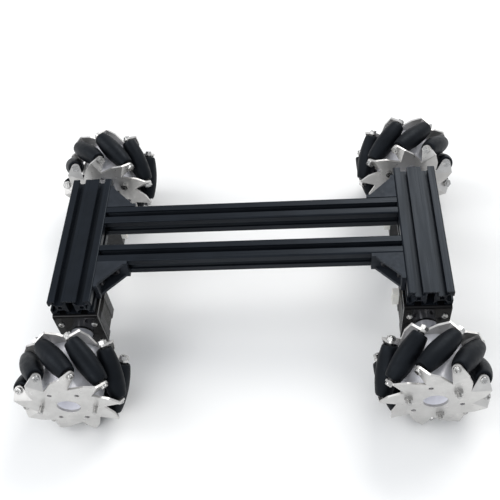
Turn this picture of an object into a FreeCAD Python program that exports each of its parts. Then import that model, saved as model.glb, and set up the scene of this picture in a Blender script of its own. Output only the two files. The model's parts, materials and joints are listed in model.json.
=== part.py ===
"""Four wheel robot chassis: a slotted aluminium frame on four driven mecanum wheels.

Units are millimetres. The origin is on the ground, in the middle of the four wheels. X runs along the
cross members towards the right, Y runs along the side rails towards the rear, and Z is up.
Every piece is its own solid, and parts/NODE.step holds the solids of one node.
"""
import FreeCAD
import Part
import math
import os

Vector = FreeCAD.Vector

# frame
frame_width = 360.0          # outer face to outer face of the side rails
rail_width = 40.0            # the rails are 40 x 20 profile, lying flat
profile_size = 20.0
rail_length = 148.0
cross_front_y = -20.0        # centre line of the front cross member
cross_rear_y = 26.5
corner_radius = 1.5
slot_opening = 6.2
slot_lip = 1.8
slot_inner_width = 11.0
slot_floor_width = 6.4
slot_depth = 6.2
core_bore_radius = 2.1

# corner brackets
bracket_leg = 28.0
bracket_wall = 3.0
bracket_flange = 3.5
bracket_web = 24.5           # length of the two triangular webs along each flange
bracket_screw_offset = 15.0

# wheels
wheel_radius = 50.0
front_wheel_y = 127.0        # distance of the wheels' middle planes from the middle of the rails
rear_wheel_y = 123.0
axle_drop = 28.3             # wheel axis below the underside of the rails
roller_count = 9
roller_pitch_radius = 40.25
roller_reach_angle = 20.1    # half of the wheel's turn that one roller carries, in degrees
roller_bore_radius = 2.05
roller_boss_radius = 3.4
roller_boss_gap = 0.4        # between a roller's boss and the tab
axle_radius = 2.0
plate_offset = 24.6          # middle of each side plate from the wheel's middle plane
plate_thickness = 2.0
plate_hole_radius = 10.6
fold_start = 29.0            # ends of each tab's fold line, measured outwards along its roller's radius
fold_tip = 45.8
shoulder = (41.0, 1.5)       # corner of the plate's rim behind each fold, along and across that radius
tab_distance = 25.6          # middle of a tab from the middle of its roller, along the roller
tab_end_radius = 4.3
bolt_circle_radius = 24.0
bolt_hole_radius = 2.15
bolt_hole_count = 6

# axle screws and hub bolts
axle_head_radius = 3.2
axle_head_height = 2.4
recess_length = 3.4          # cross recess in each axle screw's head
recess_width = 0.9
recess_depth = 1.2
nut_flats = 7.0
nut_height = 3.2
bolt_radius = 2.0
stud_length = 6.5            # bolt end outside the plate, where it has no nut
bolt_end = 2.5               # bolt end outside its nut

# hub and coupling
drum_radius = 28.5
coupling_radius = 10.4
coupling_seat = 12.0         # how far the coupling reaches into the drum
coupling_gap = 1.0

# motors and their brackets
motor_size = 42.3
motor_length = 34.0
motor_cap_front = 9.0
motor_cap_rear = 10.0
motor_chamfer = 3.5
stator_chamfer = 5.5
motor_screw_pitch = 31.0
connector_width = 16.0
connector_height = 5.8
connector_depth = 7.6
pilot_radius = 11.0
pilot_height = 2.0
shaft_radius = 2.5
shaft_bore_radius = 2.55
stator_bore_radius = 13.3
rotor_radius = 12.9
plate_leg_thickness = 3.0
motor_bracket_width = 42.0
motor_bracket_leg = 48.0

# fasteners of the frame
screw_radius = 2.5
screw_head_radius = 4.75
screw_head_height = 2.75
screw_socket_flats = 3.0
motor_screw_radius = 1.5
motor_screw_head_radius = 2.75
motor_screw_head_height = 2.0

rail_bottom_z = wheel_radius + axle_drop
rail_centre_z = rail_bottom_z + profile_size / 2
rail_centre_x = frame_width / 2 - rail_width / 2
rail_inner_x = frame_width / 2 - rail_width
motor_x = frame_width / 2 - motor_size / 2
rail_end_y = rail_length / 2
bracket_front_y = rail_end_y + plate_leg_thickness
slot_offset = profile_size / 2
origin_shift_y = (front_wheel_y - rear_wheel_y) / 2

# side along X and along Y of each motor, and which way along X its plug socket faces
MOTORS = ((-1, -1, -1), (-1, 1, 1), (1, -1, -1), (1, 1, -1))

WHEELS = (
    # name, side along X, side along Y, lean of the rollers, first roller, first bolt hole, bolts, nuts
    ("front_left", -1, -1, 1, 19.9, -2.0, (0, 3), False),
    ("front_right", 1, -1, -1, 7.4, 45.0, (0, 2, 4), True),
    ("rear_left", -1, 1, 1, 33.4, 30.0, (0, 3), False),
    ("rear_right", 1, 1, -1, 1.3, 20.0, (0, 2, 4), True),
)


def box(x0, x1, y0, y1, z0, z1):
    return Part.makeBox(x1 - x0, y1 - y0, z1 - z0, Vector(x0, y0, z0))


def cylinder(radius, start, end):
    axis = end - start
    return Part.makeCylinder(radius, axis.Length, start, axis)


def prism(points, direction):
    wire = Part.makePolygon(list(points) + [points[0]])
    return Part.Face(wire).extrude(direction)


def hexagon(flats, centre, axis, height):
    side = axis.cross(Vector(0.3, 0.5, 0.8)).normalize()
    other = axis.cross(side).normalize()
    radius = flats / math.sqrt(3)
    points = []
    for index in range(6):
        angle = math.radians(60 * index)
        points.append(centre + side * (radius * math.cos(angle)) + other * (radius * math.sin(angle)))
    return prism(points, axis * height)


def export(name, solids):
    shape = solids[0] if len(solids) == 1 else Part.makeCompound(solids)
    shape.translate(Vector(0, origin_shift_y, 0))
    shape.exportStep("parts/" + name + ".step")


# ---------------------------------------------------------------- slotted profiles
def slot_cutter(length):
    """A T-slot along Y that opens towards +Z, with its mouth at Z = 0."""
    mouth = slot_opening / 2
    wide = slot_inner_width / 2
    floor = slot_floor_width / 2
    points = (
        Vector(-mouth, 0, 1), Vector(mouth, 0, 1), Vector(mouth, 0, -slot_lip),
        Vector(wide, 0, -slot_lip), Vector(wide, 0, -slot_lip - 1.2), Vector(floor, 0, -slot_depth),
        Vector(-floor, 0, -slot_depth), Vector(-wide, 0, -slot_lip - 1.2), Vector(-wide, 0, -slot_lip),
        Vector(-mouth, 0, -slot_lip),
    )
    return prism(points, Vector(0, length, 0))


def slotted_profile(cells, length):
    """A profile along Y, centred on the origin, of square cells side by side along X."""
    width = cells * profile_size
    half_height = profile_size / 2
    body = box(-width / 2, width / 2, -length / 2, length / 2, -half_height, half_height)
    edges = [e for e in body.Edges if abs(e.tangentAt(e.FirstParameter).y) > 0.9]
    body = body.makeFillet(corner_radius, edges)
    cutters = []
    for cell in range(cells):
        x = -width / 2 + profile_size * (cell + 0.5)
        for turn in (0, 180):
            cutter = slot_cutter(length + 2)
            cutter.translate(Vector(0, -length / 2 - 1, half_height))
            cutter.rotate(Vector(0, 0, 0), Vector(0, 1, 0), turn)
            cutter.translate(Vector(x, 0, 0))
            cutters.append(cutter)
        cutters.append(cylinder(core_bore_radius, Vector(x, -length, 0), Vector(x, length, 0)))
    for turn in (90, -90):
        cutter = slot_cutter(length + 2)
        cutter.translate(Vector(0, -length / 2 - 1, width / 2))
        cutter.rotate(Vector(0, 0, 0), Vector(0, 1, 0), turn)
        cutters.append(cutter)
    for seam in range(1, cells):
        x = -width / 2 + profile_size * seam
        half = profile_size / 2 - slot_lip
        web = slot_inner_width / 2 - 2.3
        cutters.append(box(x - web, x + web, -length, length, -half, half))
    return body.cut(cutters)


def rail(side):
    body = slotted_profile(2, rail_length)
    body.translate(Vector(side * rail_centre_x, 0, rail_centre_z))
    return body


def cross_member(y):
    body = slotted_profile(1, 2 * rail_inner_x)
    body.rotate(Vector(0, 0, 0), Vector(0, 0, 1), 90)
    body.translate(Vector(0, y, rail_centre_z))
    return body


# ---------------------------------------------------------------- corner brackets
def corner_bracket():
    """Corner at the origin, one flange along +X and one along +Y, centred on Z = 0."""
    half = profile_size / 2
    outline = (
        Vector(0, 0, -half), Vector(bracket_leg, 0, -half), Vector(bracket_leg, bracket_flange, -half),
        Vector(bracket_web, bracket_flange, -half), Vector(bracket_flange, bracket_web, -half),
        Vector(bracket_flange, bracket_leg, -half), Vector(0, bracket_leg, -half),
    )
    body = prism(outline, Vector(0, 0, profile_size))
    inner = (
        Vector(bracket_flange, bracket_flange, 0), Vector(bracket_leg + 1, bracket_flange, 0),
        Vector(bracket_leg + 1, bracket_leg + 1, 0), Vector(bracket_flange, bracket_leg + 1, 0),
    )
    pocket = prism(inner, Vector(0, 0, profile_size - 2 * bracket_wall))
    pocket.translate(Vector(0, 0, -half + bracket_wall))
    hole = cylinder(2.75, Vector(bracket_screw_offset, -1, 0), Vector(bracket_screw_offset, 6, 0))
    other = cylinder(2.75, Vector(-1, bracket_screw_offset, 0), Vector(6, bracket_screw_offset, 0))
    return body.cut([pocket, hole, other])


def bracket_corners():
    """Corner point and the directions of the two flanges of each corner bracket."""
    half = profile_size / 2
    for side in (-1, 1):
        yield side, -1, cross_front_y - half
        yield side, 1, cross_rear_y + half


def placed_corner_bracket(side, front, y):
    body = corner_bracket()
    if side * front > 0:
        body = body.mirror(Vector(0, 0, 0), Vector(1, 0, 0))
        body.rotate(Vector(0, 0, 0), Vector(0, 0, 1), 0 if front > 0 else 180)
    else:
        body.rotate(Vector(0, 0, 0), Vector(0, 0, 1), 0 if front > 0 else 180)
    body.translate(Vector(side * rail_inner_x, y, rail_centre_z))
    return body


# ---------------------------------------------------------------- screws and slot nuts
def socket_screw(seat, axis, length, radius, head_radius, head_height):
    """Button head screw: the head stands on the seat and the shank runs along the axis."""
    head = cylinder(head_radius, seat - axis * head_height, seat)
    rim = [e for e in head.Edges if e.Closed and (e.CenterOfMass - seat).Length > head_height / 2]
    head = head.makeFillet(head_height * 0.55, rim)
    socket = hexagon(screw_socket_flats, seat - axis * (head_height + 0.01), axis, head_height * 0.6)
    shank = cylinder(radius, seat - axis * 0.5, seat + axis * length)
    return head.cut(socket).fuse(shank)


def slot_nut(mouth, inward, along):
    """Nut in a T-slot: mouth is the centre of the slot opening, inward points into the profile."""
    across = inward.cross(along).normalize()
    top = mouth + inward * (slot_lip + 0.02)
    wide = slot_inner_width / 2 - 0.4
    floor = slot_floor_width / 2
    depth = slot_depth - slot_lip - 0.8
    points = (
        top - across * wide, top + across * wide, top + across * wide + inward * 1.0,
        top + across * floor + inward * depth, top - across * floor + inward * depth,
        top - across * wide + inward * 1.0,
    )
    start = [p - along * 5.0 for p in points]
    body = prism(start, along * 10.0)
    return body.cut(cylinder(screw_radius, mouth, mouth + inward * (slot_depth + 1)))


def frame_fastener_seats():
    """Seat of each frame screw, its direction, the slot's direction and the grip under the head."""
    for side, front, y in bracket_corners():
        at_rail = Vector(side * rail_inner_x, y + front * bracket_screw_offset, rail_centre_z)
        yield at_rail, Vector(side, 0, 0), Vector(0, 1, 0), bracket_flange
        at_cross = Vector(side * (rail_inner_x - bracket_screw_offset), y, rail_centre_z)
        yield at_cross, Vector(0, -front, 0), Vector(1, 0, 0), bracket_flange
    for side in (-1, 1):
        for front in (-1, 1):
            for lane in (-1, 1):
                for distance in (14.0, 34.0):
                    x = side * rail_centre_x + lane * slot_offset
                    mouth = Vector(x, front * (rail_end_y - distance), rail_bottom_z)
                    yield mouth, Vector(0, 0, 1), Vector(0, 1, 0), plate_leg_thickness


# ---------------------------------------------------------------- motors
def square_with_chamfers(size, chamfer, y0, y1):
    half = size / 2
    near = half - chamfer
    points = (
        Vector(-half, y0, -near), Vector(-near, y0, -half), Vector(near, y0, -half),
        Vector(half, y0, -near), Vector(half, y0, near), Vector(near, y0, half),
        Vector(-near, y0, half), Vector(-half, y0, near),
    )
    return prism(points, Vector(0, y1 - y0, 0))


def tube_cut(radius, y0, y1):
    return cylinder(radius, Vector(0, y0, 0), Vector(0, y1, 0))


def motor_screw_places():
    half = motor_screw_pitch / 2
    return [(x, z) for x in (-half, half) for z in (-half, half)]


def motor_caps():
    """Front and rear end caps. The mounting face is at Y = 0 and the shaft points to +Y."""
    front = square_with_chamfers(motor_size, motor_chamfer, -motor_cap_front, 0)
    front = front.fuse(tube_cut(pilot_radius, -1, pilot_height))
    front = front.cut(tube_cut(shaft_bore_radius, -motor_cap_front - 1, pilot_height + 1))
    holes = [cylinder(motor_screw_radius, Vector(x, -5, z), Vector(x, 1, z)) for x, z in motor_screw_places()]
    front = front.cut(holes)
    rear_face = -motor_length
    rear = square_with_chamfers(motor_size, motor_chamfer, rear_face, rear_face + motor_cap_rear)
    rear = rear.cut(tube_cut(shaft_bore_radius, rear_face + 2.5, rear_face + motor_cap_rear + 1))
    return [front, rear]


def motor_stator():
    rear = -motor_length + motor_cap_rear
    body = square_with_chamfers(motor_size - 0.6, stator_chamfer, rear, -motor_cap_front)
    return body.cut(tube_cut(stator_bore_radius, rear - 1, 0))


def motor_connector(side):
    """Socket on one side of the rear cap, with an open mouth for the plug."""
    back = motor_size / 2
    y = -motor_length + 1.2
    half = connector_width / 2
    shell = box(back, back + connector_height, y, y + connector_depth, -half, half)
    mouth = box(back + 1.5, back + connector_height + 1, y + 1, y + connector_depth - 1, 1 - half, half - 1)
    body = shell.cut(mouth)
    if side < 0:
        body.rotate(Vector(0, 0, 0), Vector(0, 1, 0), 180)
    return body


def motor_bracket(turned):
    """L bracket of folded plate, in the motor's place: face plate on Y = 0..3, leg under the rail."""
    half = motor_bracket_width / 2
    top = axle_drop
    thick = plate_leg_thickness
    face = box(-half, half, 0, thick, -motor_size / 2, top)
    leg = box(-half, half, thick - motor_bracket_leg, thick, top - thick, top)
    body = face.fuse(leg)
    bend = [e for e in body.Edges if e.Length > 40 and abs(e.CenterOfMass.y - thick) < 0.01]
    bend = [e for e in bend if abs(e.CenterOfMass.z - top) < 0.01]
    body = body.makeFillet(thick * 0.9, bend)
    cutters = [tube_cut(pilot_radius + 0.25, -1, thick + 1)]
    for x, z in motor_screw_places():
        cutters.append(cylinder(motor_screw_radius + 0.2, Vector(x, -1, z), Vector(x, thick + 1, z)))
    for lane in (-1, 1):
        for distance in (14.0, 34.0):
            x = turned * (rail_centre_x - motor_x) + lane * slot_offset
            start = Vector(x, -distance, top - thick - 1)
            cutters.append(cylinder(screw_radius + 0.25, start, start + Vector(0, 0, thick + 2)))
    return body.cut(cutters)


def motor_screws():
    screws = []
    for x, z in motor_screw_places():
        seat = Vector(x, plate_leg_thickness, z)
        screws.append(socket_screw(seat, Vector(0, -1, 0), plate_leg_thickness + 4.5, motor_screw_radius,
                                   motor_screw_head_radius, motor_screw_head_height))
    return screws


def at_motor(shape, side, front):
    """Moves a shape from the motor's own frame to one corner of the chassis."""
    body = shape.copy()
    if front < 0:
        body.rotate(Vector(0, 0, 0), Vector(0, 0, 1), 180)
    body.translate(Vector(side * motor_x, front * rail_end_y, wheel_radius))
    return body


# ---------------------------------------------------------------- wheels
def roller_frame(lean, angle):
    """Middle of a roller, its outward direction and its axis, in the wheel's own frame."""
    a = math.radians(angle)
    outward = Vector(math.cos(a), 0, math.sin(a))
    around = Vector(-math.sin(a), 0, math.cos(a))
    axis = (Vector(0, 1, 0) + around * lean).normalize()
    return outward * roller_pitch_radius, outward, axis, around


def barrel_point(angle):
    """Distance along the roller and radius there, for the contact at an angle round the wheel.

    The barrel touches the wheel's rolling circle all along, so each contact's normal runs through
    both the wheel's axis and the roller's axis.
    """
    a = math.radians(angle)
    normal = wheel_radius - roller_pitch_radius / math.cos(a)
    distance = math.sqrt(2) * roller_pitch_radius * math.tan(a) + normal * math.sin(a) / math.sqrt(2)
    return distance, normal * math.sqrt(1 - math.sin(a) ** 2 / 2)


def place_along(shape, start, axis):
    """Turns a shape that was built along +Z so that it runs along the axis from the start."""
    body = shape.copy()
    body.Placement = FreeCAD.Placement(start, FreeCAD.Rotation(Vector(0, 0, 1), axis))
    return body


def roller_profile():
    steps = 12
    points = []
    for index in range(steps + 1):
        distance, radius = barrel_point(roller_reach_angle * (2 * index / steps - 1))
        points.append(Vector(radius, 0, distance))
    barrel = Part.BSplineCurve()
    barrel.interpolate(points)
    boss_end = tab_distance - plate_thickness / 2 - roller_boss_gap
    corners = [
        points[-1], Vector(roller_boss_radius, 0, points[-1].z), Vector(roller_boss_radius, 0, boss_end),
        Vector(roller_bore_radius, 0, boss_end), Vector(roller_bore_radius, 0, -boss_end),
        Vector(roller_boss_radius, 0, -boss_end), Vector(roller_boss_radius, 0, points[0].z), points[0],
    ]
    edges = [barrel.toShape()]
    for start, end in zip(corners, corners[1:]):
        edges.append(Part.makeLine(start, end))
    face = Part.Face(Part.Wire(edges))
    return face.revolve(Vector(0, 0, 0), Vector(0, 0, 1), 360)


def tangent_point(start, centre, radius, turn):
    """Where a line from the start touches a circle, on one side or the other, as (along, across)."""
    across = centre[1] - start[1]
    along = centre[0] - start[0]
    distance = math.hypot(along, across)
    angle = math.atan2(across, along) + turn * math.asin(radius / distance)
    reach = math.sqrt(distance ** 2 - radius ** 2)
    return start[0] + reach * math.cos(angle), start[1] + reach * math.sin(angle)


def tab_outline(reach):
    """Corners of a tab from its fold line: along the roller's radius, and away from the fold."""
    centre = (roller_pitch_radius, reach)
    inner = (fold_start, 0)
    outer = (fold_tip, 0)
    tip = (roller_pitch_radius, reach + tab_end_radius)
    return (inner, tangent_point(inner, centre, tab_end_radius, 1), tip,
            tangent_point(outer, centre, tab_end_radius, -1), outer)


def side_plate(lean, side, first_roller, first_hole):
    """Stamped plate: nine tabs are cut free at the rim and bent square to the roller axles."""
    y = side * plate_offset
    half = plate_thickness / 2
    turn = lean * side
    fold = tab_distance * math.sqrt(2) - plate_offset
    reach = plate_offset * math.sqrt(2) - tab_distance
    rim = []
    tabs = []
    for index in range(roller_count):
        angle = first_roller - turn * 360 / roller_count * index
        middle, outward, axis, around = roller_frame(lean, angle)
        origin = Vector(0, y, 0)
        for along, across in ((fold_start, fold), (fold_tip, fold), shoulder):
            rim.append(origin + Vector(0, -half, 0) + outward * along + around * (turn * across))
        # the bent tab, with a rounded end around the roller's axle
        slope = (Vector(0, -side, 0) + around * turn).normalize()
        line = origin + around * (turn * fold)
        inner, left, tip, right, outer = [line + outward * u + slope * v for u, v in tab_outline(reach)]
        edges = [
            Part.makeLine(inner, left), Part.Arc(left, tip, right).toShape(),
            Part.makeLine(right, outer), Part.makeLine(outer, inner),
        ]
        face = Part.Face(Part.Wire(edges))
        face.translate(axis * -half)
        tab = face.extrude(axis * plate_thickness)
        bend = cylinder(half, inner, outer)
        centre = line + outward * roller_pitch_radius + slope * reach
        hole = cylinder(axle_radius + 0.1, centre - axis * 3, centre + axis * 3)
        tabs.append(tab.fuse(bend).cut(hole))
    cutters = [cylinder(plate_hole_radius, Vector(0, y - 3, 0), Vector(0, y + 3, 0))]
    for place in bolt_places(first_hole, range(bolt_hole_count)):
        start = place + Vector(0, y - 3, 0)
        cutters.append(cylinder(bolt_hole_radius, start, start + Vector(0, 6, 0)))
    body = prism(rim, Vector(0, plate_thickness, 0)).cut(cutters)
    return body.fuse(tabs).removeSplitter()


def bolt_places(first_hole, indices):
    """Centres of the hub's bolt holes, in the wheel's middle plane."""
    for index in indices:
        angle = math.radians(first_hole + 60 * index)
        yield Vector(bolt_circle_radius * math.cos(angle), 0, bolt_circle_radius * math.sin(angle))


def axle_screw():
    """Pan head screw along Z with a cross recess, centred on the roller's middle."""
    face = tab_distance + plate_thickness / 2
    top = face + axle_head_height
    head = cylinder(axle_head_radius, Vector(0, 0, face), Vector(0, 0, top))
    rim = [e for e in head.Edges if e.Closed and e.CenterOfMass.z > top - 0.1]
    head = head.makeFillet(1.0, rim)
    shank = cylinder(axle_radius, Vector(0, 0, face + 1), Vector(0, 0, -face - nut_height - 0.8))
    long = recess_length / 2
    wide = recess_width / 2
    floor = top - recess_depth
    recess = [box(-long, long, -wide, wide, floor, top + 1), box(-wide, wide, -long, long, floor, top + 1)]
    return head.cut(recess).fuse(shank)


def roller_axles(lean, out, first_roller):
    """Screws that the rollers turn on, with the heads outside, and their nuts."""
    solids = []
    face = tab_distance + plate_thickness / 2
    screw = axle_screw()
    for index in range(roller_count):
        middle, outward, axis, around = roller_frame(lean, first_roller + 360 / roller_count * index)
        solids.append(place_along(screw, middle, axis * out))
        nut = hexagon(nut_flats, middle - axis * (out * face), axis * -out, nut_height)
        solids.append(nut.cut(cylinder(axle_radius, middle, middle - axis * (out * (face + 6)))))
    return solids


def hub_bolts(out, first_hole, bolts, with_nuts):
    """Bolts through both plates and the drum. Their heads are on the motor's side."""
    solids = []
    face = plate_offset + plate_thickness / 2
    outward = Vector(0, out, 0)
    for place in bolt_places(first_hole, bolts):
        head = hexagon(nut_flats, place - outward * face, outward * -1, nut_height)
        length = face + (nut_height + bolt_end if with_nuts else stud_length)
        shank = cylinder(bolt_radius, place - outward * (face + 1), place + outward * length)
        solids.append(head.fuse(shank))
        if with_nuts:
            nut = hexagon(nut_flats, place + outward * face, outward, nut_height)
            solids.append(nut.cut(shank))
    return solids


def hub_drum(first_hole):
    """Turned aluminium drum between the side plates."""
    end = Vector(0, plate_offset - plate_thickness / 2, 0)
    cutters = [cylinder(coupling_radius, end * -2, end * 2)]
    for place in bolt_places(first_hole, range(bolt_hole_count)):
        cutters.append(cylinder(bolt_hole_radius, place - end * 2, place + end * 2))
    return cylinder(drum_radius, end * -1, end).cut(cutters)


def hub_drive(out, centre_y):
    """Coupling between the drum and the motor, the motor's shaft and its rotor."""
    outward = Vector(0, out, 0)
    seat = plate_offset - plate_thickness / 2 - coupling_seat
    end = centre_y - bracket_front_y - coupling_gap
    face = centre_y - rail_end_y
    barrel = cylinder(coupling_radius, outward * -end, outward * -seat)
    shaft = cylinder(shaft_radius, outward * -(face + motor_length - 3), outward * -(plate_offset + 3))
    cutters = [shaft]
    for angle in (60, 150):
        a = math.radians(angle)
        start = outward * -(end - 6)
        cutters.append(cylinder(1.9, start, start + Vector(math.cos(a), 0, math.sin(a)) * 12))
    coupling = barrel.cut(cutters)
    rotor_start = face + motor_cap_front + 1
    rotor_end = face + motor_length - motor_cap_rear - 1
    rotor = cylinder(rotor_radius, outward * -rotor_end, outward * -rotor_start).cut(shaft)
    return [coupling, shaft, rotor]


def build_wheel(name, side, front, lean, first_roller, first_hole, bolts, with_nuts):
    centre_y = front_wheel_y if front < 0 else rear_wheel_y
    centre = Vector(side * motor_x, front * centre_y, wheel_radius)
    barrel = roller_profile()
    plates = [side_plate(lean, s, first_roller, first_hole) for s in (-1, 1)]
    groups = {
        "wheel_" + name + "_plates": plates + [hub_drum(first_hole)],
        "wheel_" + name + "_drive": hub_drive(front, centre_y),
        "wheel_" + name + "_fasteners":
            roller_axles(lean, front, first_roller) + hub_bolts(front, first_hole, bolts, with_nuts),
    }
    for index in range(roller_count):
        middle, outward, axis, around = roller_frame(lean, first_roller + 360 / roller_count * index)
        groups["roller_" + name + "_" + str(index + 1)] = [place_along(barrel, middle, axis)]
    for node, solids in groups.items():
        for solid in solids:
            solid.translate(centre)
        export(node, solids)


# ---------------------------------------------------------------- the whole chassis
def build_frame():
    export("rail_left", [rail(-1)])
    export("rail_right", [rail(1)])
    export("cross_member_front", [cross_member(cross_front_y)])
    export("cross_member_rear", [cross_member(cross_rear_y)])
    export("corner_brackets", [placed_corner_bracket(*corner) for corner in bracket_corners()])
    screws = []
    nuts = []
    for mouth, inward, along, grip in frame_fastener_seats():
        screws.append(socket_screw(mouth - inward * grip, inward, grip + 5.0, screw_radius,
                                   screw_head_radius, screw_head_height))
        nuts.append(slot_nut(mouth, inward, along))
    export("frame_screws", screws)
    export("slot_nuts", nuts)


def build_motors():
    caps = []
    stators = []
    brackets = []
    screws = []
    connectors = []
    for side, front, socket in MOTORS:
        caps += [at_motor(cap, side, front) for cap in motor_caps()]
        stators.append(at_motor(motor_stator(), side, front))
        brackets.append(at_motor(motor_bracket(side * front), side, front))
        screws += [at_motor(screw, side, front) for screw in motor_screws()]
        connectors.append(at_motor(motor_connector(socket * front), side, front))
    export("motor_caps", caps)
    export("motor_stators", stators)
    export("motor_brackets", brackets)
    export("motor_screws", screws)
    export("motor_connectors", connectors)


os.makedirs("parts", exist_ok=True)
build_frame()
build_motors()
for wheel in WHEELS:
    build_wheel(*wheel)
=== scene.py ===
"""Four wheel robot chassis: finishes, worked details, floor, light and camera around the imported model.

Lengths are metres in the model's own frame: X right along the cross members, Y to the rear, Z up.
"""
import json
import math

import bmesh
import bpy
from mathutils import Matrix, Vector


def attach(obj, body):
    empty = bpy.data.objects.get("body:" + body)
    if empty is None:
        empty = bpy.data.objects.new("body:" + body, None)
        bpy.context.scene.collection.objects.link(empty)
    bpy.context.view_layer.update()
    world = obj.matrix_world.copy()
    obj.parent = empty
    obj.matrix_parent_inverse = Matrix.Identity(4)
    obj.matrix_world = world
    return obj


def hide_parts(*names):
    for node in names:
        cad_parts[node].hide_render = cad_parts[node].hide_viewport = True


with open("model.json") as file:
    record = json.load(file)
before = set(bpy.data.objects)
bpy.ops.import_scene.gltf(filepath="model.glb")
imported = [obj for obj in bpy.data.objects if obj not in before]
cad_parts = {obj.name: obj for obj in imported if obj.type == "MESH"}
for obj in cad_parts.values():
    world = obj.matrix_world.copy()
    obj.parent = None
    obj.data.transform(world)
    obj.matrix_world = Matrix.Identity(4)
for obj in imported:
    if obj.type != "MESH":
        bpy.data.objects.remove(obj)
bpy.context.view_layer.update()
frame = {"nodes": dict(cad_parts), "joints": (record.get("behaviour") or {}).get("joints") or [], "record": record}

MM = 0.001
COOL_GLINT = (0.76, 0.87, 1.0, 1.0)      # tint of the light that black parts reflect
nodes = frame["nodes"]
joints = {joint["child"]: joint for joint in frame["joints"]}
slot_of = {part["node"]: part["material_slot"] for part in frame["record"]["subparts"]}

wheel_joint = joints[next(body for body in joints if body.startswith("wheel_"))]
WHEEL_PLACE = Vector([abs(value) for value in wheel_joint["pos_m"]])

# roller, in millimetres, as its barrel runs between the wheel's tabs
WHEEL_RADIUS = 50.0
ROLLER_PITCH_RADIUS = 40.25
ROLLER_REACH_DEGREES = 20.1
ROLLER_EDGE = 0.9
ROLLER_CORE_RADIUS = 4.5
ROLLER_BORE_RADIUS = 2.05
ROLLER_RECESS = 0.9
ROLLER_BOSS_RADIUS = 3.4
ROLLER_BOSS_END = 24.2
ROLLER_BOSS_CHAMFER = 0.25
ROLLER_SEGMENTS = 48
TREAD_STEPS = 16                        # on each side of the roller's middle

# drum between each wheel's side plates
DRUM_RADIUS = 28.8 * MM
DRUM_HALF = 23.55 * MM

# camera, fitted to the viewing angle
CAMERA_PLACE = Vector((0.058735, -0.443461, 0.64922))
CAMERA_YAW = -0.133437
CAMERA_TILT = 0.908748
CAMERA_ROLL = 0.137196
CAMERA_LENS = 54.734
CAMERA_SHIFT_X = 0.0008
CAMERA_SHIFT_Y = -0.004


# edges of the carried-over nodes, in millimetres
EDGE_WIDTHS = {
    "extrusion": 0.25, "cast_bracket": 0.5, "black_plate": 0.35, "motor_cap": 0.35, "lamination": 0.25,
    "wheel_plate": 0.22, "white_plastic": 0.2, "polished_hub": 0.3,
}


# ---------------------------------------------------------------- materials
class Surface:
    """A node material with object coordinates, so a finish stays fixed to its piece."""

    def __init__(self, name, colour, metallic=0.0, roughness=0.5):
        self.material = bpy.data.materials.new(name)
        self.material.use_nodes = True
        self.tree = self.material.node_tree
        self.shader = self.tree.nodes["Principled BSDF"]
        self.shader.inputs["Base Color"].default_value = (*colour, 1.0)
        self.shader.inputs["Metallic"].default_value = metallic
        self.shader.inputs["Roughness"].default_value = roughness
        self.colour = colour
        self.place = self.tree.nodes.new("ShaderNodeTexCoord").outputs["Object"]
        self.normal = None

    def set(self, **values):
        for name, value in values.items():
            self.shader.inputs[name.replace("_", " ")].default_value = value
        return self

    def stretched(self, scale):
        mapping = self.tree.nodes.new("ShaderNodeMapping")
        mapping.inputs["Scale"].default_value = scale
        self.tree.links.new(self.place, mapping.inputs["Vector"])
        return mapping.outputs["Vector"]

    def noise(self, scale, detail=4.0, stretch=None, roughness=0.55):
        node = self.tree.nodes.new("ShaderNodeTexNoise")
        node.inputs["Scale"].default_value = scale
        node.inputs["Detail"].default_value = detail
        node.inputs["Roughness"].default_value = roughness
        self.tree.links.new(self.stretched(stretch) if stretch else self.place, node.inputs["Vector"])
        return node.outputs["Fac"]

    def bands(self, pitch, axis):
        """Even bands across one axis, one per pitch."""
        node = self.tree.nodes.new("ShaderNodeTexWave")
        node.bands_direction = axis
        node.inputs["Scale"].default_value = math.pi / (10 * pitch)
        node.inputs["Distortion"].default_value = 0.0
        self.tree.links.new(self.place, node.inputs["Vector"])
        return node.outputs["Fac"]

    def maths(self, operation, first, second=None):
        node = self.tree.nodes.new("ShaderNodeMath")
        node.operation = operation
        for socket, value in zip(node.inputs, (first, second)):
            if isinstance(value, (int, float)):
                socket.default_value = value
            elif value is not None:
                self.tree.links.new(value, socket)
        return node.outputs["Value"]

    def tint(self, source, dark, light, low=0.35, high=0.65):
        """Colour runs from dark to light times the base colour as the source goes from low to high."""
        ramp = self.tree.nodes.new("ShaderNodeValToRGB")
        ramp.color_ramp.elements[0].position = low
        ramp.color_ramp.elements[1].position = high
        ramp.color_ramp.elements[0].color = (*[min(1.0, c * dark) for c in self.colour], 1.0)
        ramp.color_ramp.elements[1].color = (*[min(1.0, c * light) for c in self.colour], 1.0)
        self.tree.links.new(source, ramp.inputs["Fac"])
        self.tree.links.new(ramp.outputs["Color"], self.shader.inputs["Base Color"])
        return self

    def rough(self, source, low, high):
        spread = self.tree.nodes.new("ShaderNodeMapRange")
        spread.inputs["From Min"].default_value = 0.3
        spread.inputs["From Max"].default_value = 0.7
        spread.inputs["To Min"].default_value = low
        spread.inputs["To Max"].default_value = high
        self.tree.links.new(source, spread.inputs["Value"])
        self.tree.links.new(spread.outputs["Result"], self.shader.inputs["Roughness"])
        return self

    def bump(self, source, depth, strength=1.0):
        node = self.tree.nodes.new("ShaderNodeBump")
        node.inputs["Strength"].default_value = strength
        node.inputs["Distance"].default_value = depth
        self.tree.links.new(source, node.inputs["Height"])
        if self.normal:
            self.tree.links.new(self.normal, node.inputs["Normal"])
        self.normal = node.outputs["Normal"]
        self.tree.links.new(self.normal, self.shader.inputs["Normal"])
        return self


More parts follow.
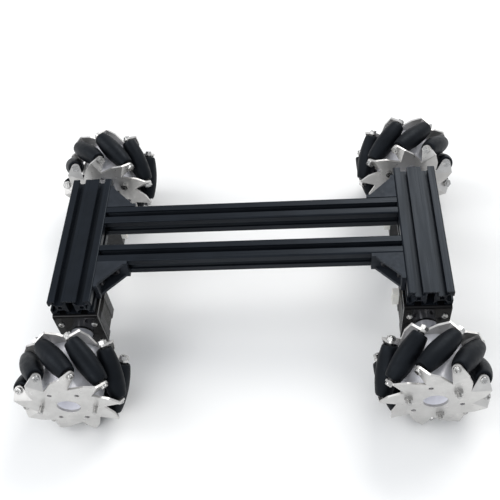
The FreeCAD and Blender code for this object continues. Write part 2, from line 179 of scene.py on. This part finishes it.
def anodised(name, along):
    """Black anodised extrusion: die lines run the length of the profile."""
    stretch = tuple(0.02 if axis == along else 1.0 for axis in range(3))
    surface = Surface(name, (0.0052, 0.0066, 0.0092), roughness=0.36)
    surface.set(Specular_IOR_Level=0.17, Specular_Tint=COOL_GLINT)
    lines = surface.noise(900.0, 3.0, stretch)
    surface.tint(surface.noise(38.0, 5.0), 0.80, 1.25)
    surface.rough(lines, 0.26, 0.42)
    return surface.bump(lines, 0.00006, 0.5)


def cast_bracket():
    surface = Surface("cast_black", (0.012, 0.014, 0.018), roughness=0.48)
    surface.set(Specular_IOR_Level=0.25, Specular_Tint=COOL_GLINT)
    surface.tint(surface.noise(90.0, 5.0), 0.75, 1.3)
    surface.rough(surface.noise(260.0), 0.42, 0.6)
    return surface.bump(surface.noise(1500.0, 3.0), 0.00012, 0.6)


def gloss_black():
    """Thick gloss paint with a faint orange peel."""
    surface = Surface("gloss_black_paint", (0.003, 0.003, 0.0034), roughness=0.10)
    surface.set(Coat_Weight=0.1, Coat_Roughness=0.02, Specular_IOR_Level=0.12)
    surface.tint(surface.noise(60.0), 0.8, 1.4)
    surface.rough(surface.noise(140.0), 0.08, 0.18)
    return surface.bump(surface.noise(420.0, 2.0), 0.00001, 0.4)


def motor_cap():
    surface = Surface("motor_cap_black", (0.010, 0.010, 0.011), roughness=0.42)
    surface.set(Specular_IOR_Level=0.3)
    surface.tint(surface.noise(120.0), 0.75, 1.35)
    surface.rough(surface.noise(300.0), 0.34, 0.5)
    return surface.bump(surface.noise(1800.0, 2.0), 0.00006, 0.5)


def lamination():
    """Stacked steel sheets, seen edge on as fine lines across the motor's axis."""
    surface = Surface("stacked_laminations", (0.020, 0.019, 0.017), metallic=0.3, roughness=0.45)
    surface.set(Specular_IOR_Level=0.15)
    sheets = surface.bands(0.0005, "Y")
    surface.tint(sheets, 0.72, 1.12, 0.2, 0.8)
    surface.rough(surface.noise(220.0), 0.36, 0.52)
    return surface.bump(sheets, 0.00005, 0.7)


def black_screw():
    surface = Surface("black_oxide_steel", (0.020, 0.020, 0.023), metallic=0.6, roughness=0.35)
    surface.tint(surface.noise(400.0), 0.7, 1.5)
    surface.rough(surface.noise(700.0), 0.28, 0.45)
    return surface.bump(surface.noise(2200.0, 2.0), 0.00003, 0.4)


def plated_steel():
    surface = Surface("zinc_plated_steel", (0.48, 0.475, 0.465), metallic=1.0, roughness=0.26)
    surface.tint(surface.noise(350.0), 0.8, 1.1)
    surface.rough(surface.noise(600.0), 0.18, 0.34)
    return surface.bump(surface.noise(1600.0, 2.0), 0.00002, 0.4)


def inside_drum(surface):
    """1 on the turned drum in the middle of each wheel and 0 on the side plates around it."""
    split = surface.tree.nodes.new("ShaderNodeSeparateXYZ")
    surface.tree.links.new(surface.place, split.inputs["Vector"])
    across = surface.maths("SUBTRACT", surface.maths("ABSOLUTE", split.outputs["X"]), WHEEL_PLACE.x)
    ahead = surface.maths("SUBTRACT", surface.maths("ABSOLUTE", split.outputs["Y"]), WHEEL_PLACE.y)
    above = surface.maths("SUBTRACT", split.outputs["Z"], WHEEL_PLACE.z)
    across_squared = surface.maths("MULTIPLY", across, across)
    above_squared = surface.maths("MULTIPLY", above, above)
    distance_squared = surface.maths("ADD", across_squared, above_squared)
    within = surface.maths("LESS_THAN", distance_squared, DRUM_RADIUS ** 2)
    between = surface.maths("LESS_THAN", surface.maths("ABSOLUTE", ahead), DRUM_HALF)
    return surface.maths("MULTIPLY", within, between)


def stamped_plate():
    """Sheet aluminium with a rolled grain. The drum inside it is turned and gets a brighter, near-white, bluish
    colour with little metal: painted light that lifts the shaded drum and its bore.
    """
    plate_metallic = 0.75
    drum_painted_light_metallic = 0.1
    surface = Surface("stamped_aluminium", (0.58, 0.57, 0.555), metallic=plate_metallic, roughness=0.32)
    grain = surface.noise(1400.0, 3.0, (1.0, 1.0, 0.08))
    surface.tint(surface.noise(70.0, 5.0), 0.9, 1.06)
    surface.rough(surface.noise(180.0), 0.26, 0.4)
    surface.bump(grain, 0.00003, 0.5)
    drum = inside_drum(surface)
    blend = surface.tree.nodes.new("ShaderNodeMix")
    blend.data_type = "RGBA"
    plate_end, drum_painted_light_end = [socket for socket in blend.inputs if socket.type == "RGBA"]
    plate_colour = surface.shader.inputs["Base Color"].links[0].from_socket
    surface.tree.links.new(drum, blend.inputs["Factor"])
    surface.tree.links.new(plate_colour, plate_end)
    # painted light: a near-white, bluish, barely metallic colour lifts the shaded drum and its bore out of shade
    drum_painted_light_end.default_value = (0.90, 0.90, 0.95, 1.0)
    blended = next(socket for socket in blend.outputs if socket.type == "RGBA")
    surface.tree.links.new(blended, surface.shader.inputs["Base Color"])
    less = surface.maths("MULTIPLY", drum, plate_metallic - drum_painted_light_metallic)
    surface.tree.links.new(surface.maths("SUBTRACT", plate_metallic, less), surface.shader.inputs["Metallic"])
    return surface


def turned_metal_with_painted_sheen():
    """Polished, with the fine rings that a lathe leaves across the axis. Its pale bluish colour is only partly
    metallic, so a diffuse share paints in the bright reflection of light from above.
    """
    # painted reflection: a diffuse share of pale bluish colour stands in for light reflected from above
    surface = Surface("turned_polished_metal_painted_sheen", (0.84, 0.85, 0.92), metallic=0.65, roughness=0.2)
    rings = surface.noise(2600.0, 2.0, (0.02, 1.0, 0.02))
    surface.tint(surface.noise(90.0), 0.92, 1.05)
    surface.rough(rings, 0.08, 0.2)
    return surface.bump(rings, 0.00001, 0.4)


def rubber():
    """Moulded black rubber, faintly dusty where it has rolled."""
    surface = Surface("roller_rubber", (0.0024, 0.0028, 0.0038), roughness=0.44)
    surface.set(Specular_IOR_Level=0.17, Specular_Tint=COOL_GLINT)
    surface.tint(surface.noise(120.0, 6.0), 0.8, 1.5)
    surface.rough(surface.noise(240.0), 0.42, 0.6)
    return surface.bump(surface.noise(2600.0, 3.0), 0.00005, 0.6)


def roller_core():
    surface = Surface("roller_core_plastic", (0.006, 0.006, 0.007), roughness=0.4)
    surface.tint(surface.noise(200.0), 0.8, 1.5)
    surface.rough(surface.noise(500.0), 0.32, 0.5)
    return surface.bump(surface.noise(1900.0, 2.0), 0.00003, 0.4)


def white_plastic():
    surface = Surface("socket_plastic", (0.80, 0.79, 0.75), roughness=0.4)
    surface.set(Subsurface_Weight=0.05)
    surface.tint(surface.noise(160.0), 0.93, 1.04)
    surface.rough(surface.noise(400.0), 0.34, 0.5)
    return surface.bump(surface.noise(1500.0, 2.0), 0.00002, 0.4)


FINISHES = {
    "cast_bracket": cast_bracket(),
    "black_steel": black_screw(),
    "plain_steel": plated_steel(),
    "black_plate": gloss_black(),
    "motor_cap": motor_cap(),
    "lamination": lamination(),
    "white_plastic": white_plastic(),
    "wheel_plate": stamped_plate(),
    "polished_hub": turned_metal_with_painted_sheen(),
    "roller_rubber": rubber(),
}
ROLLER_CORE = roller_core()
RAIL_FINISH = anodised("anodised_along_y", 1)
CROSS_FINISH = anodised("anodised_along_x", 0)


def finish_for(node):
    if node.startswith("rail_"):
        return RAIL_FINISH
    if node.startswith("cross_member_"):
        return CROSS_FINISH
    return FINISHES[slot_of[node]]


def dress_cad_nodes():
    """Gives each carried-over node its finish, and a small worked radius on its sharp edges."""
    for name, node in nodes.items():
        for holder in node.material_slots:
            holder.material = finish_for(name).material
        width = EDGE_WIDTHS.get(slot_of[name])
        if width:
            bevel = node.modifiers.new("worked_edges", "BEVEL")
            bevel.width = width * MM
            bevel.segments = 2
            bevel.limit_method = "ANGLE"
            bevel.angle_limit = math.radians(40)
            bevel.harden_normals = False


# ---------------------------------------------------------------- worked pieces
def new_piece(name, mesh, body, finishes):
    piece = bpy.data.objects.new(name, mesh)
    bpy.context.scene.collection.objects.link(piece)
    for finish in finishes:
        mesh.materials.append(finish.material)
    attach(piece, body)
    return piece


def lathe(name, outline, segments, core_from):
    """Turns a closed outline of (radius, height) round Z. Faces from core_from on get material 1."""
    mesh = bpy.data.meshes.new(name)
    shape = bmesh.new()
    rings = []
    for step in range(segments):
        angle = 2 * math.pi * step / segments
        rings.append([shape.verts.new((r * math.cos(angle), r * math.sin(angle), z)) for r, z in outline])
    count = len(outline)
    for step in range(segments):
        ring, after = rings[step], rings[(step + 1) % segments]
        for index in range(count):
            nxt = (index + 1) % count
            face = shape.faces.new((ring[index], after[index], after[nxt], ring[nxt]))
            face.smooth = True
            face.material_index = 1 if index >= core_from else 0
    bmesh.ops.recalc_face_normals(shape, faces=shape.faces)
    shape.to_mesh(mesh)
    shape.free()
    mesh.set_sharp_from_angle(angle=math.radians(35))
    return mesh


def barrel_point(degrees):
    """Distance along the roller and its radius there, for the contact at an angle round the wheel."""
    a = math.radians(degrees)
    normal = WHEEL_RADIUS - ROLLER_PITCH_RADIUS / math.cos(a)
    distance = math.sqrt(2) * ROLLER_PITCH_RADIUS * math.tan(a) + normal * math.sin(a) / math.sqrt(2)
    return distance, normal * math.sqrt(1 - math.sin(a) ** 2 / 2)


def roller_outline():
    """Rubber tread with rounded ends, then the recessed core and its bore, in metres."""
    half, end_radius = barrel_point(ROLLER_REACH_DEGREES)
    tread = []
    for step in range(-TREAD_STEPS, TREAD_STEPS + 1):
        distance, radius = barrel_point(ROLLER_REACH_DEGREES * step / TREAD_STEPS)
        if abs(distance) < half - ROLLER_EDGE:
            tread.append((radius, distance))
    top = []
    for step in range(5):
        a = math.radians(90 * step / 4)
        top.append((end_radius - ROLLER_EDGE * (1 - math.cos(a)), half - ROLLER_EDGE * (1 - math.sin(a))))
    top.append((ROLLER_CORE_RADIUS + 0.35, half))
    top.append((ROLLER_CORE_RADIUS, half - 0.35))
    top.append((ROLLER_CORE_RADIUS, half - ROLLER_RECESS))
    core = [
        (ROLLER_BOSS_RADIUS, half - ROLLER_RECESS),
        (ROLLER_BOSS_RADIUS, ROLLER_BOSS_END - ROLLER_BOSS_CHAMFER),
        (ROLLER_BOSS_RADIUS - ROLLER_BOSS_CHAMFER, ROLLER_BOSS_END),
        (ROLLER_BORE_RADIUS, ROLLER_BOSS_END),
    ]
    outline = tread + top
    core_from = len(outline) - 1
    outline += core
    outline += [(r, -z) for r, z in reversed(core)]
    core_to = len(outline)
    outline += [(r, -z) for r, z in reversed(top)]
    return [(r * MM, z * MM) for r, z in outline], core_from, core_to


def roller_mesh():
    outline, core_from, core_to = roller_outline()
    mesh = lathe("roller", outline, ROLLER_SEGMENTS, core_from)
    count = len(outline)
    for face in mesh.polygons:
        if face.index % count >= core_to:
            face.material_index = 0
    return mesh


def add_rollers():
    for body, joint in joints.items():
        if not body.startswith("roller_"):
            continue
        mesh = roller_mesh()
        turn = Vector((0, 0, 1)).rotation_difference(Vector(joint["axis"])).to_matrix().to_4x4()
        mesh.transform(Matrix.Translation(Vector(joint["pos_m"])) @ turn)
        finishes = (FINISHES["roller_rubber"], ROLLER_CORE)
        piece = new_piece(body + "_tread", mesh, body, finishes)
        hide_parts(body)


# ---------------------------------------------------------------- floor, light and camera
def add_floor():
    mesh = bpy.data.meshes.new("floor")
    half = 4.0
    corners = [(-half, -half, 0), (half, -half, 0), (half, half, 0), (-half, half, 0)]
    mesh.from_pydata(corners, [], [(0, 1, 2, 3)])
    floor = bpy.data.objects.new("floor", mesh)
    bpy.context.scene.collection.objects.link(floor)
    surface = Surface("pale_floor", (0.86, 0.86, 0.855), roughness=0.6)
    surface.tint(surface.noise(3.0, 2.0), 0.985, 1.01)
    mesh.materials.append(surface.material)


def add_light(name, place, size, power, colour=(1.0, 1.0, 1.0)):
    lamp = bpy.data.lights.new(name, "AREA")
    lamp.shape = "RECTANGLE"
    lamp.size, lamp.size_y = size
    lamp.energy = power
    lamp.color = colour
    holder = bpy.data.objects.new(name, lamp)
    holder.location = place
    aim = Vector((0, 0, 0.05)) - Vector(place)
    holder.rotation_euler = aim.to_track_quat("-Z", "Y").to_euler()
    bpy.context.scene.collection.objects.link(holder)


def add_lights():
    world = bpy.data.worlds.new("soft_surround")
    bpy.context.scene.world = world
    world.use_nodes = True
    background = world.node_tree.nodes["Background"]
    background.inputs["Color"].default_value = (0.93, 0.96, 1.0, 1.0)
    background.inputs["Strength"].default_value = 0.75
    add_light("window_light", (0.9, 1.5, 1.9), (1.6, 1.0), 34.0, (1.0, 0.985, 0.96))
    add_light("side_light", (-1.7, 0.2, 1.5), (1.0, 1.4), 16.0)
    add_light("front_light", (-0.8, -1.5, 1.4), (1.2, 0.8), 13.0)


def add_camera():
    sin_yaw, cos_yaw = math.sin(CAMERA_YAW), math.cos(CAMERA_YAW)
    sin_tilt, cos_tilt = math.sin(CAMERA_TILT), math.cos(CAMERA_TILT)
    ahead = Vector((sin_yaw * cos_tilt, cos_yaw * cos_tilt, -sin_tilt))
    level = Vector((cos_yaw, -sin_yaw, 0))
    below = ahead.cross(level)
    right = level * math.cos(CAMERA_ROLL) + below * math.sin(CAMERA_ROLL)
    up = level * math.sin(CAMERA_ROLL) - below * math.cos(CAMERA_ROLL)
    lens = bpy.data.cameras.new("camera")
    lens.lens = CAMERA_LENS
    lens.sensor_width = 36.0
    lens.shift_x = CAMERA_SHIFT_X
    lens.shift_y = CAMERA_SHIFT_Y
    camera = bpy.data.objects.new("camera", lens)
    bpy.context.scene.collection.objects.link(camera)
    turn = Matrix((right, up, -ahead)).transposed().to_4x4()
    camera.matrix_world = Matrix.Translation(CAMERA_PLACE) @ turn
    bpy.context.scene.camera = camera


bpy.context.scene.view_settings.view_transform = "Standard"
dress_cad_nodes()
add_rollers()
add_floor()
add_lights()
add_camera()
